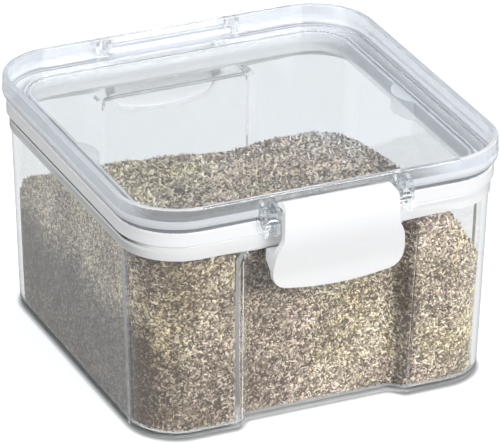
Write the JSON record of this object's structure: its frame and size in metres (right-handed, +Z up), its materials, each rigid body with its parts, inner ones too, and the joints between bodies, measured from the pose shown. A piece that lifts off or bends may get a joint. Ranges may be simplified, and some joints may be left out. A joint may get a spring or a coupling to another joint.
{
  "type": "rice bin with flip lid",
  "caption": "Square clear kitchen bin for rice or grain, with a hinged flip lid, silicone gasket, white front latch and matching rear hinge clip.",
  "frame": {"origin": "centre of the bin's base, on the surface it stands on", "axes": "+Z up; -Y towards the front latch, +Y towards the rear hinge; +X to the right as seen from the front"},
  "size_m": [0.2006, 0.2218, 0.1265],
  "materials": {
    "clear_body": "clear, polished",
    "clear_lid": "clear, polished",
    "silicone": "translucent white, satin",
    "white_plastic": "gloss",
    "steel": "satin",
    "grain": "loose dry grain"
  },
  "bodies": {
    "bin": {"bin_body": "clear_body", "rear_hinge_clip": "white_plastic", "rear_hinge_pin": "steel", "grain_fill": "grain"},
    "lid": {"lid": "clear_lid", "gasket": "silicone", "front_latch_pin": "steel"},
    "latch": {"front_latch": "white_plastic"}
  },
  "joints": [
    {"name": "lid_flip", "type": "hinge", "parent": "bin", "child": "lid", "pos_m": [0, 0.1042, 0.1151], "axis": [-1, 0, 0], "range_deg": [0, 105]},
    {"name": "latch_swing", "type": "hinge", "parent": "lid", "child": "latch", "pos_m": [0, -0.1042, 0.1151], "axis": [-1, 0, 0], "range_deg": [0, 120]}
  ]
}
